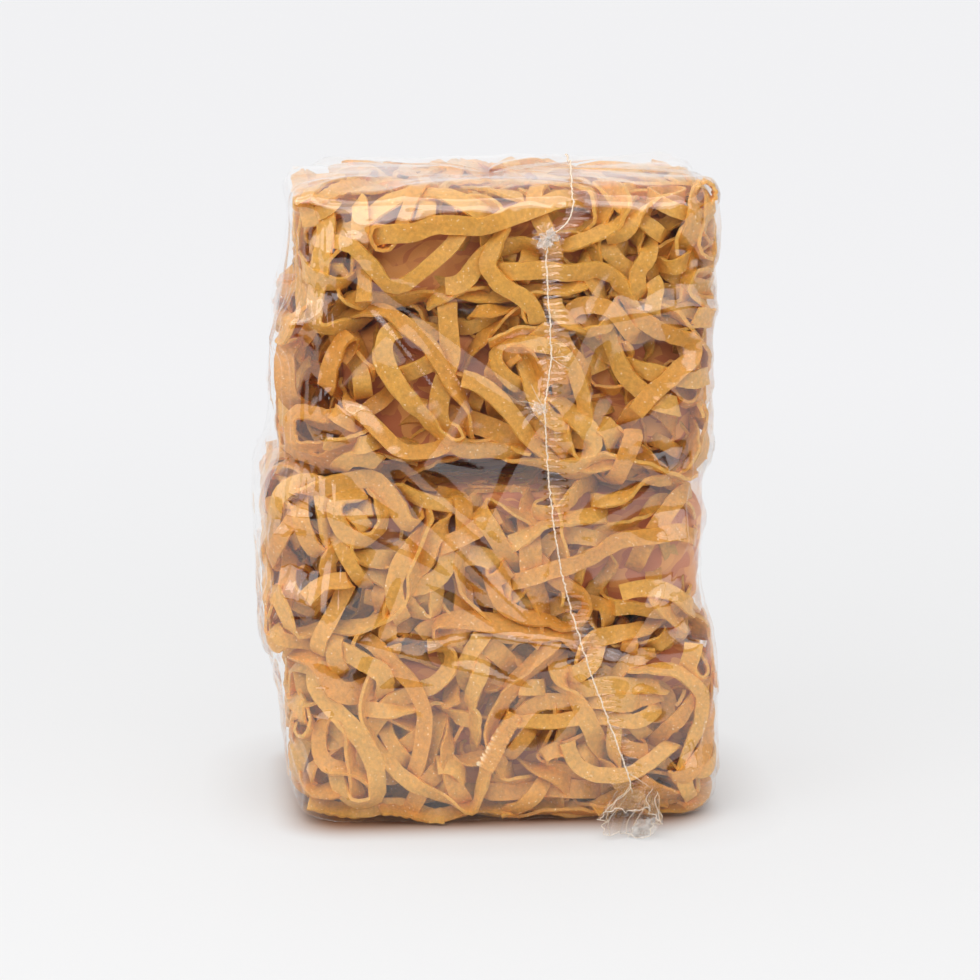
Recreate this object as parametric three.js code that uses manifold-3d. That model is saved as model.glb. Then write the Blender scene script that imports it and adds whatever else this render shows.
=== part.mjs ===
// A block of dried egg noodles: four cakes of broad flat noodles, stacked and sealed in a tight clear film.
// Units are millimetres, +Z is up, the front with the film's seam faces -Y, and the origin is the middle
// of the foot. The pack is one solid: a core for each cake, the noodles that show fused on it, and the
// film's seam and gathered tail.
import * as THREE from 'three';
import { mergeVertices } from 'three/addons/utils/BufferGeometryUtils.js';
import Module from 'manifold-3d';

// Driving dimensions of the pack
const packDepth = 74;
const planCorner = 13; // radius of the upright edges
const cakeEdge = 7; // radius of the level edges of a cake
const waistInset = 1.5; // how far the neck between two cakes lies inside them
const neckEdge = 2; // radius of the neck's own level edges, inside the cakes

// The cakes from the foot up: height, width, and how far the middle is shifted to the right and to the back
const cakes = [
  { height: 47, width: 108, right: 1.5, back: -0.5 },
  { height: 41, width: 112, right: -3.7, back: 0.5 },
  { height: 41, width: 109, right: 0, back: 0 },
  { height: 33, width: 104.5, right: 2.8, back: 0.5 },
];

// The noodles
const noodleWidth = 4.4;
const noodleThickness = 1.1;
const noodleLength = { least: 46, most: 84 };
const noodleSteps = 9; // straight stretches in one noodle
const noodleLayers = 3; // that lie over each other on the core
const layerGap = 0.15;
const endSink = 1.6; // how far the middle plane of a noodle's end is sunk in the core
const endRamp = 0.2; // share of its length in which a noodle rises to its layer
const noodleRows = 2; // of noodles round a cake
const noodlesInRow = 18;
const noodlesOnTop = { across: 5, deep: 3 };
const edgeGap = 4; // what a noodle's middle line keeps from the level edges of its cake
const seed = 40;

// The film's seam: each point's run forwards from the middle of the top and then down the front,
// and its distance to the right
const seamLine = [
  [-31, 22.9], [0, 20.8], [34, 17.6], [40, 17.8], [45, 15.1], [48, 11.4], [54, 11], [68, 12], [78, 12.3],
  [89.5, 10.6], [105, 11.6], [118, 12.9], [132, 15.3], [143, 18.2], [156, 22.2], [169, 26.9], [183, 32],
  [187.5, 34],
];
const seamWidth = 0.9;
const seamProud = 0.4; // of the noodles' outline
const seamRoot = 5.2; // how far it reaches in, to stand on the cores
const seamSteps = 30;
const filmEdge = 6; // radius of the film over the front edge of the top

// The gathered end of the film at the foot of the seam
const tail = {
  neck: 2.2,
  mouth: 5.8,
  length: 14,
  droop: 30, // degrees below the level
  pleats: 5,
  pleatDepth: 0.22,
  flatness: 0.6,
  sides: 20,
  rings: 3,
};

const packHeight = cakes.reduce((sum, cake) => sum + cake.height, 0);

// How far the cores lie inside the outline of the pack: two layers of noodles
const coreInset = 2 * (noodleThickness + layerGap);

const wasm = await Module();
wasm.setup();

// A small seeded generator, so that the noodles lie the same way each time
function makeRandom(state) {
  return () => {
    state = (state + 0x6d2b79f5) | 0;
    let mixed = Math.imul(state ^ (state >>> 15), 1 | state);
    mixed = (mixed + Math.imul(mixed ^ (mixed >>> 7), 61 | mixed)) ^ mixed;
    return ((mixed ^ (mixed >>> 14)) >>> 0) / 4294967296;
  };
}

function between(random, least, most) {
  return least + (most - least) * random();
}

// A closed three.js geometry as a solid that can be joined and cut
function toSolid(geometry) {
  const bare = new THREE.BufferGeometry().setAttribute('position', geometry.getAttribute('position'));
  if (geometry.index) bare.setIndex(geometry.index);
  const merged = mergeVertices(bare, 1e-4);
  return new wasm.Manifold(
    new wasm.Mesh({
      numProp: 3,
      vertProperties: new Float32Array(merged.getAttribute('position').array),
      triVerts: new Uint32Array(merged.index.array),
    }),
  );
}

function toGeometry(solid) {
  const mesh = solid.getMesh();
  const geometry = new THREE.BufferGeometry();
  geometry.setAttribute('position', new THREE.BufferAttribute(mesh.vertProperties, 3));
  geometry.setIndex(new THREE.BufferAttribute(mesh.triVerts, 1));
  geometry.computeVertexNormals();
  return geometry;
}

// The outline of a rounded rectangle, starting at the middle of the front and going round to the right
function roundedRectangle(width, depth, corner, middle) {
  const right = middle.x + width / 2;
  const left = middle.x - width / 2;
  const front = middle.y - depth / 2;
  const back = middle.y + depth / 2;
  const outline = new THREE.Shape();
  outline.moveTo(middle.x, front);
  outline.lineTo(right - corner, front);
  outline.absarc(right - corner, front + corner, corner, -Math.PI / 2, 0);
  outline.lineTo(right, back - corner);
  outline.absarc(right - corner, back - corner, corner, 0, Math.PI / 2);
  outline.lineTo(left + corner, back);
  outline.absarc(left + corner, back - corner, corner, Math.PI / 2, Math.PI);
  outline.lineTo(left, front + corner);
  outline.absarc(left + corner, front + corner, corner, Math.PI, 1.5 * Math.PI);
  outline.lineTo(middle.x, front);
  return outline;
}

// A rounded slab from one height to another, with its level edges rounded off
function roundedSlab(width, depth, bottom, top, corner, edge, middle) {
  const outline = roundedRectangle(width - 2 * edge, depth - 2 * edge, Math.max(corner - edge, 1), middle);
  return new THREE.ExtrudeGeometry(outline, {
    depth: top - bottom - 2 * edge,
    bevelThickness: edge,
    bevelSize: edge,
    bevelSegments: 2,
    curveSegments: 3,
  }).translate(0, 0, bottom + edge);
}

// A noodle's way along a surface: points with the surface's outward normal at each
class NoodlePath extends THREE.CatmullRomCurve3 {
  constructor(places) {
    super(places.map((place) => place.point));
    this.normals = places.map((place) => place.normal);
  }

  // The broad side of a noodle keeps to the surface, so its frames follow the normals
  computeFrenetFrames(segments) {
    const tangents = [];
    const normals = [];
    const binormals = [];
    for (let i = 0; i <= segments; i++) {
      const along = (i / segments) * (this.normals.length - 1);
      const before = Math.min(Math.floor(along), this.normals.length - 2);
      const tangent = this.getTangentAt(i / segments);
      const normal = this.normals[before].clone().lerp(this.normals[before + 1], along - before);
      normal.addScaledVector(tangent, -normal.dot(tangent)).normalize();
      tangents.push(tangent);
      normals.push(normal);
      binormals.push(new THREE.Vector3().crossVectors(tangent, normal));
    }
    return { tangents, normals, binormals };
  }
}

// A flat band of the given thickness and width, carried along a path
function bandAlong(path, thickness, width, steps) {
  const section = new THREE.Shape();
  section.moveTo(-thickness / 2, -width / 2);
  section.lineTo(thickness / 2, -width / 2);
  section.lineTo(thickness / 2, width / 2);
  section.lineTo(-thickness / 2, width / 2);
  section.closePath();
  return new THREE.ExtrudeGeometry(section, { steps, extrudePath: path });
}

// A wandering line on the flat, about its own middle: the heading turns evenly and swings to and fro
function wanderingLine(random, heading) {
  const length = between(random, noodleLength.least, noodleLength.most);
  const turn = between(random, -2.6, 2.6);
  const swing = between(random, 0.25, 0.9);
  const waves = between(random, 0.8, 1.6);
  const phase = between(random, 0, 2 * Math.PI);
  const points = [new THREE.Vector2()];
  for (let i = 0; i < noodleSteps; i++) {
    const share = i / noodleSteps;
    const angle = heading + turn * (share - 0.5) + swing * Math.sin(2 * Math.PI * waves * share + phase);
    const step = new THREE.Vector2(Math.cos(angle), Math.sin(angle)).multiplyScalar(length / noodleSteps);
    points.push(points[i].clone().add(step));
  }
  const box = new THREE.Box2().setFromPoints(points);
  const middle = box.getCenter(new THREE.Vector2());
  return points.map((point) => point.sub(middle));
}

// Squeezes a line into a band of the given half height about its middle
function squeeze(points, halfHeight) {
  const reach = Math.max(...points.map((point) => Math.abs(point.y)));
  const scale = Math.min(1, halfHeight / reach);
  return points.map((point) => new THREE.Vector2(point.x, point.y * scale));
}

// One noodle: a wandering line laid on a surface by place(), with both ends sunk and the rest in one layer
function noodleOn(line, layer, place) {
  const level = layer * (noodleThickness + layerGap) + layerGap + noodleThickness / 2;
  const places = line.map((point, i) => {
    const fromEnd = Math.min(i, noodleSteps - i) / noodleSteps;
    const lift = THREE.MathUtils.lerp(-endSink, level, THREE.MathUtils.smoothstep(fromEnd, 0, endRamp));
    const { point: foot, normal } = place(point);
    return { point: foot.addScaledVector(normal, lift), normal };
  });
  return toSolid(bandAlong(new NoodlePath(places), noodleThickness, noodleWidth, noodleSteps));
}

// Lays a noodle in the lowest layer where it runs through no other, or leaves it out
function layNoodle(laid, line, place) {
  for (let layer = 0; layer < noodleLayers; layer++) {
    const noodle = noodleOn(line, layer, place);
    if (laid.every((other) => noodle.intersect(other).isEmpty())) {
      laid.push(noodle);
      return;
    }
  }
}

// The cores of the cakes from the foot up, each with its own bounds
function stackedCakes() {
  let bottom = 0;
  return cakes.map((cake) => {
    const made = {
      bottom,
      top: bottom + cake.height,
      width: cake.width - 2 * coreInset,
      depth: packDepth - 2 * coreInset,
      middle: new THREE.Vector2(cake.right, cake.back),
    };
    bottom = made.top;
    return made;
  });
}

// What a cake's core covers in plan
function planOf(cake) {
  return new THREE.Box2().setFromCenterAndSize(cake.middle, new THREE.Vector2(cake.width, cake.depth));
}

// The neck that fills the groove between two cakes: what both cover in plan, drawn in by the waist
function neckBetween(lower, upper) {
  const plan = planOf(lower).intersect(planOf(upper)).expandByScalar(-waistInset);
  const size = plan.getSize(new THREE.Vector2());
  const middle = plan.getCenter(new THREE.Vector2());
  const joint = lower.top;
  const corner = planCorner - coreInset - waistInset;
  return roundedSlab(size.x, size.y, joint - cakeEdge, joint + cakeEdge, corner, neckEdge, middle);
}

// Noodles round the four sides of a cake, in rows, each row set off by half a place
function noodlesRound(random, laid, cake) {
  const outline = roundedRectangle(cake.width, cake.depth, planCorner - coreInset, cake.middle);
  const perimeter = outline.getLength();
  const halfBand = (cake.top - cake.bottom) / 2 - edgeGap;
  const rowHeight = (2 * halfBand) / noodleRows;
  for (let row = 0; row < noodleRows; row++) {
    const level = cake.bottom + edgeGap + (row + 0.5) * rowHeight;
    for (let i = 0; i < noodlesInRow; i++) {
      const start = ((i + 0.5 * row + between(random, -0.2, 0.2)) / noodlesInRow) * perimeter;
      const line = squeeze(wanderingLine(random, between(random, 0, Math.PI)), 0.8 * rowHeight);
      const place = (point) => {
        const share = THREE.MathUtils.euclideanModulo((start + point.x) / perimeter, 1);
        const foot = outline.getPointAt(share);
        const along = outline.getTangentAt(share);
        const height = THREE.MathUtils.clamp(level + point.y, cake.bottom + edgeGap, cake.top - edgeGap);
        const normal = new THREE.Vector3(along.y, -along.x, 0);
        return { point: new THREE.Vector3(foot.x, foot.y, height), normal };
      };
      layNoodle(laid, line, place);
    }
  }
}

// Noodles that lie on the top of the uppermost cake, one to each field of a grid
function noodlesAbove(random, laid, cake) {
  const level = cake.top - coreInset;
  const flat = { x: cake.width - 2 * cakeEdge, y: cake.depth - 2 * cakeEdge };
  const field = { x: flat.x / noodlesOnTop.across, y: flat.y / noodlesOnTop.deep };
  for (let column = 0; column < noodlesOnTop.across; column++) {
    for (let row = 0; row < noodlesOnTop.deep; row++) {
      const start = new THREE.Vector2(
        (column - (noodlesOnTop.across - 1) / 2) * field.x,
        (row - (noodlesOnTop.deep - 1) / 2) * field.y,
      );
      const place = (point) => {
        const x = THREE.MathUtils.clamp(start.x + point.x, -flat.x / 2, flat.x / 2);
        const y = THREE.MathUtils.clamp(start.y + point.y, -flat.y / 2, flat.y / 2);
        const foot = new THREE.Vector3(cake.middle.x + x, cake.middle.y + y, level);
        return { point: foot, normal: new THREE.Vector3(0, 0, 1) };
      };
      layNoodle(laid, wanderingLine(random, between(random, 0, Math.PI)), place);
    }
  }
}

// A place on the film over the top and down the front, by its run and its distance to the right
function filmPlace(run, right) {
  const onTop = Math.min(run, packDepth / 2 - filmEdge);
  const angle = THREE.MathUtils.clamp((run - onTop) / filmEdge, 0, Math.PI / 2);
  const onFront = run - onTop - filmEdge * angle;
  const normal = new THREE.Vector3(0, -Math.sin(angle), Math.cos(angle));
  const inner = new THREE.Vector3(right, -onTop, packHeight - filmEdge - onFront);
  return { point: inner.addScaledVector(normal, filmEdge), normal };
}

// The seam: a thin rib that stands out of the top and the front, from the back of the top down to the tail
function filmSeam() {
  const places = seamLine.map(([run, right]) => {
    const { point, normal } = filmPlace(run, right);
    return { point: point.addScaledVector(normal, (seamProud - seamRoot) / 2), normal };
  });
  return toSolid(bandAlong(new NoodlePath(places), seamRoot + seamProud, seamWidth, seamSteps));
}

// The tail: a short pleated horn, narrow at the neck, that leans forwards and lies on the foot's level
function filmTail() {
  const horn = new THREE.CylinderGeometry(tail.mouth, tail.neck, tail.length, tail.sides, tail.rings);
  const position = horn.getAttribute('position');
  const point = new THREE.Vector3();
  for (let i = 0; i < position.count; i++) {
    point.fromBufferAttribute(position, i);
    const share = point.y / tail.length + 0.5;
    const angle = Math.atan2(point.z, point.x);
    const pleat = 1 + tail.pleatDepth * share * Math.cos(tail.pleats * angle);
    position.setXYZ(i, point.x * pleat, point.y, point.z * pleat * tail.flatness);
  }
  horn.translate(0, tail.length / 2, 0).rotateX(Math.PI + THREE.MathUtils.degToRad(tail.droop));
  const { point: root } = filmPlace(...seamLine[seamLine.length - 1]);
  const whole = toSolid(horn.translate(root.x, root.y + seamRoot / 2, root.z));
  return whole.trimByPlane([0, 0, 1], 0);
}

// Joins the solids, fills what joining has sealed in, and drops loose scraps
function fuse(solids) {
  const bodies = wasm.Manifold.union(solids).decompose();
  return bodies.reduce((largest, body) => (body.volume() > largest.volume() ? body : largest));
}

function noodlePack() {
  const random = makeRandom(seed);
  const stack = stackedCakes();
  const upper = stack[stack.length - 1];
  const noodles = [];
  noodlesAbove(random, noodles, upper);
  const cores = stack.map((cake) => {
    noodlesRound(random, noodles, cake);
    const top = cake === upper ? cake.top - coreInset : cake.top;
    const corner = planCorner - coreInset;
    return toSolid(roundedSlab(cake.width, cake.depth, cake.bottom, top, corner, cakeEdge, cake.middle));
  });
  const necks = stack.slice(1).map((cake, i) => toSolid(neckBetween(stack[i], cake)));
  return fuse([...cores, ...necks, ...noodles, filmSeam(), filmTail()]);
}

// The film over dried noodles: amber under a clear gloss
const noodleUnderFilm = new THREE.MeshStandardMaterial({ color: 0xd49a48, roughness: 0.4, metalness: 0 });

const pack = new THREE.Mesh(toGeometry(noodlePack()), noodleUnderFilm);
pack.name = 'noodle_pack';

// The origin is the middle of the foot of the whole, tail included
pack.geometry.computeBoundingBox();
const box = pack.geometry.boundingBox;
pack.position.set(-(box.min.x + box.max.x) / 2, -(box.min.y + box.max.y) / 2, -box.min.z);

const part = new THREE.Group();
part.add(pack);

export default part;
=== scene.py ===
import math

import bpy
import numpy as np
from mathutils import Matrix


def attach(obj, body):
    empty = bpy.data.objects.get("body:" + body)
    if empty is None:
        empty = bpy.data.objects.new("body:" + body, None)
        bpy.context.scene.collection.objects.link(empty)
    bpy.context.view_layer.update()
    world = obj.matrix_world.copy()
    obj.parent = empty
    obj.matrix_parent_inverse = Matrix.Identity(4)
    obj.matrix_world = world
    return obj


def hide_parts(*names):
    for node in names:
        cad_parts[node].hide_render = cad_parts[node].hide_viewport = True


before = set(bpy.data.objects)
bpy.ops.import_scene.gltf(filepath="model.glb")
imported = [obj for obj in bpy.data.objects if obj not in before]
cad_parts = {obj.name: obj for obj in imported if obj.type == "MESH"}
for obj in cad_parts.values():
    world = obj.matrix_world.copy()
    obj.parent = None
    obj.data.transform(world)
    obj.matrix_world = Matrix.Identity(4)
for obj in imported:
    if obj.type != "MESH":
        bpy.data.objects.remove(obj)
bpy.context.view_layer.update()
print("frame loaded:", sorted(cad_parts))

mm = 0.001  # shapes are worked out in millimetres and put into the meshes in metres

# the stacked cakes from the foot up
pack = dict(
    middle=(0.93, 4.84),  # where the cakes' axis stands in the frame
    depth=74.0,
    height=162.0,
    cakes=(
        dict(height=47.0, width=110.0, right=1.6, back=-0.5),
        dict(height=41.0, width=110.2, right=-3.8, back=0.5),
        dict(height=41.0, width=109.0, right=-0.4, back=0.0),
        dict(height=33.0, width=105.0, right=2.8, back=0.5),
    ),
)


# v divided by its own length, along the last axis
def unit(v):
    return v / np.maximum(np.linalg.norm(v, axis=-1, keepdims=True), 1e-9)


# the dot product along the last axis, kept as an axis of one
def dot(a, b):
    return (a * b).sum(-1, keepdims=True)


# a smooth step from 0 at low to 1 at high
def smooth(x, low, high):
    s = np.clip((x - low) / (high - low), 0, 1)
    return s * s * (3 - 2 * s)


# a wave of straight slopes between 0 and 1
def slopes(x):
    return np.abs(np.mod(x, 1.0) * 2 - 1)


# points between the given ones, on a Catmull-Rom curve
def resample(rows, count):
    last = rows.shape[1] - 1
    at = np.linspace(0, last, count)
    before = np.minimum(at.astype(int), last - 1)
    f = (at - before)[:, None]
    p0, p1, p2, p3 = (rows[:, np.clip(before + k, 0, last)] for k in (-1, 0, 1, 2))
    square = 2 * p0 - 5 * p1 + 4 * p2 - p3
    cube = 3 * p1 - p0 - 3 * p2 + p3
    return 0.5 * (2 * p1 + (p2 - p0) * f + square * f ** 2 + cube * f ** 3)


# one mesh of all the faces, arrays of vertex numbers with one row a face; it is shaded smooth, but for
# edges that are bent by more than crisp degrees, and values for its points become attributes
def putMesh(name, points, faceSets, material, crisp=180.0, **values):
    mesh = bpy.data.meshes.new(name)
    counts = np.concatenate([np.full(len(f), f.shape[1]) for f in faceSets])
    corners = np.concatenate([f.ravel() for f in faceSets])
    starts = np.concatenate([[0], np.cumsum(counts)[:-1]])
    mesh.vertices.add(len(points))
    mesh.vertices.foreach_set("co", (points * mm).astype(np.float32).ravel())
    mesh.loops.add(len(corners))
    mesh.loops.foreach_set("vertex_index", corners.astype(np.int32))
    mesh.polygons.add(len(counts))
    mesh.polygons.foreach_set("loop_start", starts.astype(np.int32))
    mesh.polygons.foreach_set("use_smooth", np.ones(len(counts), bool))
    for key, value in values.items():
        mesh.attributes.new(key, "FLOAT", "POINT").data.foreach_set("value", value.astype(np.float32))
    mesh.update(calc_edges=True)
    mesh.validate()
    mesh.set_sharp_from_angle(angle=math.radians(crisp))
    mesh.materials.append(material)
    piece = bpy.data.objects.new(name, mesh)
    bpy.context.scene.collection.objects.link(piece)
    print(name, len(mesh.vertices), "vertices", int((counts - 2).sum()), "triangles")
    return piece


# several sets of points, each with its quads and triangles, put into one mesh
def putParts(name, parts, material):
    starts = np.cumsum([0] + [len(part[0]) for part in parts])
    points = np.concatenate([part[0] for part in parts])
    faceSets = [np.concatenate([part[kind] + start for part, start in zip(parts, starts)]) for kind in (1, 2)]
    return putMesh(name, points, faceSets, material)


# a piece of the pack: it rides on the one body and stands for the solid
def partOfPack(piece):
    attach(piece, "root")
    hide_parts("noodle_pack")


# quads of a grid of rows by columns, the columns closed into rings
def ringQuads(rows, columns):
    r, c = np.meshgrid(np.arange(rows - 1), np.arange(columns), indexing="ij")
    here, after = r * columns + c, r * columns + (c + 1) % columns
    return np.stack([here, after, after + columns, here + columns], -1).reshape(-1, 4)


# rings closed by a tip in the middle of each end ring: all points, the quads and the tips' triangles
def closeRings(rings):
    rows, columns = rings.shape[:2]
    tips = np.stack([rings[0].mean(0), rings[-1].mean(0)])
    spin = np.arange(columns)
    after = (spin + 1) % columns
    tip = np.full(columns, rows * columns)
    last = (rows - 1) * columns
    first = np.stack([after, spin, tip], -1)
    triangles = np.concatenate([first, np.stack([last + spin, last + after, tip + 1], -1)])
    return np.concatenate([rings.reshape(-1, 3), tips]), ringQuads(rows, columns), triangles


# materials

# a new material and its empty tree of nodes
def newMaterial(name):
    material = bpy.data.materials.new(name)
    material.use_nodes = True
    material.node_tree.nodes.clear()
    return material, material.node_tree


# one node with its inputs by name or number: a value is set, and an output of another node is linked
def addNode(tree, kind, inputs=None, **settings):
    node = tree.nodes.new("ShaderNode" + kind)
    for key, value in settings.items():
        setattr(node, key, value)
    for key, value in (inputs or {}).items():
        if isinstance(value, bpy.types.NodeSocket):
            tree.links.new(value, node.inputs[key])
        else:
            node.inputs[key].default_value = value
    return node


# the result of one step of arithmetic on numbers and outputs
def calculate(tree, operation, *values):
    return addNode(tree, "Math", dict(enumerate(values)), operation=operation).outputs[0]


# the same with vectors; a length is a number
def calculateVector(tree, operation, *values):
    node = addNode(tree, "VectorMath", dict(enumerate(values)), operation=operation)
    return node.outputs["Value" if operation == "LENGTH" else "Vector"]


# a value that the mesh holds for each of its points
def attribute(tree, name):
    return addNode(tree, "Attribute", attribute_name=name).outputs["Fac"]


# the places that patterns are laid out by, in metres from the frame's origin
def objectPlace(tree):
    return addNode(tree, "TexCoord").outputs["Object"]


# the outputs of a noise pattern over the places
def noise(tree, where, scale, detail, roughness=0.5, distortion=0.0):
    inputs = {"Vector": where, "Scale": scale, "Detail": detail, "Roughness": roughness}
    return addNode(tree, "TexNoise", {**inputs, "Distortion": distortion}).outputs


# a value carried from one range to another, straight or with a smooth step
def mapRange(tree, value, ends, toEnds=(0.0, 1.0), way="LINEAR"):
    names = ("Value", "From Min", "From Max", "To Min", "To Max")
    inputs = dict(zip(names, (value, *ends, *toEnds)))
    return addNode(tree, "MapRange", inputs, interpolation_type=way).outputs["Result"]


# the second colour by its share and the first by the rest
def mixColour(tree, share, first, second):
    return addNode(tree, "Mix", {0: share, 6: first, 7: second}, data_type="RGBA").outputs[2]


# a colour ramp between two stops, each a place and a colour
def ramp(tree, value, *stops):
    node = addNode(tree, "ValToRGB", {"Fac": value})
    for element, (place, colour) in zip(node.color_ramp.elements, stops):
        element.position = place
        element.color = colour
    return node.outputs["Color"]


# the second shader by its share and the first by the rest
def mixShaders(tree, share, first, second):
    return addNode(tree, "MixShader", {0: share, 1: first.outputs[0], 2: second.outputs[0]})


# the shader becomes the surface
def finishMaterial(tree, shader):
    addNode(tree, "OutputMaterial", {"Surface": shader.outputs[0]})


noodleLook = dict(
    pale=(0.68, 0.355, 0.06, 1),
    deep=(0.62, 0.26, 0.03, 1),
    flour=(0.96, 0.82, 0.55, 1),
    mottle=0.55,  # how much the tone changes within a noodle
    mottleScale=220.0,
    ends=(0.2, 1.0),  # tones of the deep and of the pale colour
    soak=0.65,  # share of the light that spreads inside
    soakReach=(0.0024, 0.0015, 0.0008),
    roughness=0.48,
    bump=0.16,
    bumpHeight=0.0006,
    grain=0.16,  # how much paler and darker the grain is
    grainScale=900.0,
    speckle=0.7,  # how white the specks of flour are
    speckScale=1300.0,
    speckEdge=(0.7, 0.76),  # noise where a speck begins and where it is whole
)


# the noodle's tone plus mottle picks the colour, a fine grain shades it, and specks and worn edges are white
def noodleMaterial():
    look = noodleLook
    material, tree = newMaterial("driedNoodle")
    where = objectPlace(tree)
    mottle = noise(tree, where, look["mottleScale"], 2.0, 0.6)["Fac"]
    toned = calculate(tree, "MULTIPLY_ADD", mottle, look["mottle"], attribute(tree, "tone"))
    body = ramp(tree, toned, *zip(look["ends"], (look["deep"], look["pale"])))
    grain = noise(tree, where, look["grainScale"], 2.0, 0.7)["Fac"]
    shade = mapRange(tree, grain, (0.3, 0.7), (1 - look["grain"], 1 + look["grain"]))
    grained = addNode(tree, "VectorMath", {0: body, "Scale": shade}, operation="SCALE").outputs["Vector"]
    specks = noise(tree, where, look["speckScale"], 1.0)["Fac"]
    specks = mapRange(tree, specks, look["speckEdge"], (0.0, look["speckle"]))
    white = calculate(tree, "MAXIMUM", specks, attribute(tree, "worn"))
    bump = addNode(tree, "Bump", {"Strength": look["bump"], "Distance": look["bumpHeight"], "Height": grain})
    finishMaterial(tree, addNode(tree, "BsdfPrincipled", {
        "Base Color": mixColour(tree, white, grained, look["flour"]),
        "Roughness": look["roughness"],
        "Normal": bump.outputs["Normal"],
        "Subsurface Weight": look["soak"],
        "Subsurface Radius": look["soakReach"],
        "Subsurface Scale": 1.0,
    }, subsurface_method="BURLEY"))
    return material


# noodles

# the dark middle of each cake, which the noodles lie round: a body of painted shade that stands for the
# noodles deep in shade
core = dict(
    inset=(9.5, 12.0, 6.0),  # from the cake's box, across, in depth and in height
    shift=(5.5, 11.5, 7.0, 2.0),  # to the right, for each cake
    swell=(3.5, 3.0, 2.5, 4.5),  # how much nearer to the front it is, for each cake
    square=0.34,  # the lower, the sharper its edges
    rings=40,
    around=72,
    bump=1.6,
    lumps=6,
    lumpTurns=9.0,
    cells=210.0,  # scale of the tones in it
    cellStretch=(0.6, 1.0, 1.5),
    cellBend=(0.02, 0.02, 0.02),
    bendScale=90.0,
    ends=(0.2, 0.9),  # tones of the dark and of the light colour
    roughness=0.8,
    seed=11,
    # painted shade and bounced light: the look of noodles deep in shade, redder and paler than the noodles'
    # own colours
    dark=(0.62, 0.20, 0.075, 1),
    light=(0.86, 0.40, 0.11, 1),
)

noodles = dict(
    counts=(150, 134, 134, 116),  # in each cake
    length=(60.0, 180.0),
    step=2.4,  # between the points that are pushed apart
    rings=70,  # along each finished noodle
    width=4.4,
    widthSpread=0.4,
    thick=0.85,
    thickSpread=0.10,  # share of its thickness
    cupSpread=0.22,
    # height and length of the slow waves along a noodle
    waves=dict(width=(0.18, 24.0), thick=(0.06, 15.0), cup=(0.12, 40.0), ruffle=(0.22, 13.0)),
    bend=0.085,  # usual bend over the flat side, for each millimetre
    sway=0.065,  # usual bend in its own plane
    twist=0.055,
    memory=9.0,  # length over which bend and twist change
    start=3.0,  # how far inside its room a noodle starts
    startSteep=0.6,  # how steep it starts, for its way across
    leaveShare=0.25,  # share of the way out of the core that it takes in a step
    skin=0.6,  # between a noodle's middle line and its cake's wall
    hug=2.5,  # how near a wall turns a noodle along it
    lieFlat=0.16,  # how much a wall turns its flat side to it
    corner=11.0,  # radius of a cake's upright edges
    edges=(7.5, 4.0, 8.0, 3.0, 7.0),  # radius of the level edges at each joint, from the foot to the top
    slack=(3.5, 3.5, 5.0),  # how much smaller than its cake the room of a noodle may be
    press=(0.0, 3.6, 2.8, 5.0, -0.6),  # how far the cakes reach over each joint, from the foot to the top
    dish=(0.0, 0.0, 6.5, 0.0, 0.0),  # depth of the hollow in the middle of each joint
    dishAt=(-3.0, 19.0),  # where across the hollow lies, and half its width
    rounds=55,  # of pushing noodles apart
    push=0.3,  # share of an overlap that each one moves in a round
    pushMost=1.2,
    lean=0.12,  # how much a neighbour turns a noodle flat on it
    leanMost=1.5,  # overlap past which it turns it no more
    pairReach=0.2,  # past its width, where neighbours are looked for
    ownReach=4,  # steps along its own path that a noodle is not pushed from
    lowest=0.4,  # over the floor
    crisp=50.0,  # degrees of bend past which an edge is shaded sharp
    paler=(0.0, 0.0, 0.0, 0.35),  # for each cake; the top cake's is painted light, paler for the light that falls on it from above
    seed=5,
)

# single noodles that are placed at the pack's edges
placed = dict(
    ring=(51.0, -27.0, 158.3),  # from the middle of the pack's foot
    ringCake=3,
    radius=2.7,
    turns=1.1,
    start=1.9,
    spread=3.0,  # how far the ring's ends lie apart
    # noodles that run straight: cake, from, to, height of waves, the way they face and how much they twist
    lines=(
        (3, (-47.8, -33.0, 157.8), (-47.5, 22.0, 159.4), 0.9, (-0.3, -0.2, 1.0), 0.5),
        (3, (-45.0, -31.0, 158.4), (-12.0, 4.0, 160.0), 1.2, (0.0, -0.2, 1.0), 0.5),
        (0, (-48.0, -28.0, 4.6), (-14.0, -32.0, 2.6), 1.1, (0.0, -0.8, 0.5), 0.5),
        (0, (-30.0, -33.0, 3.2), (6.0, -30.0, 2.4), 0.9, (0.0, -0.5, 0.8), 0.5),
        (0, (0.0, -30.5, 2.6), (43.0, -29.0, 3.4), 1.2, (0.0, -0.7, 0.6), 0.5),
        (0, (24.0, -32.5, 3.6), (50.0, -20.0, 5.2), 0.9, (0.3, -0.8, 0.5), 0.5),
        (0, (3.6, -36.6, 29.4), (-3.9, -37.3, 15.2), 0.2, (0.25, -1.0, 0.1), 0.1),
    ),
    # the last one is torn: how far its teeth stand out, for half its width, how many and how white
    teeth=0.3,
    toothCount=11,
    toothWhite=0.9,
)


# the middle and half size of each cake, and the edge's radius and hollow's depth at its lower and upper end
def cakeBoxes():
    x, y = pack["middle"]
    skin = noodles["skin"]
    joint = 0.0
    middles, halves = [], []
    for cake, under, over in zip(pack["cakes"], noodles["press"][:-1], noodles["press"][1:]):
        low, high = joint - under, joint + cake["height"] + over
        middles.append((x + cake["right"], y + cake["back"], (low + high) / 2))
        halves.append((cake["width"] / 2 - skin, pack["depth"] / 2 - skin, (high - low) / 2))
        joint += cake["height"]
    ends = [noodles[key][start:start + len(middles)] for key in ("edges", "dish") for start in (0, 1)]
    return np.array(middles), np.array(halves), np.stack(ends, -1)


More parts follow.
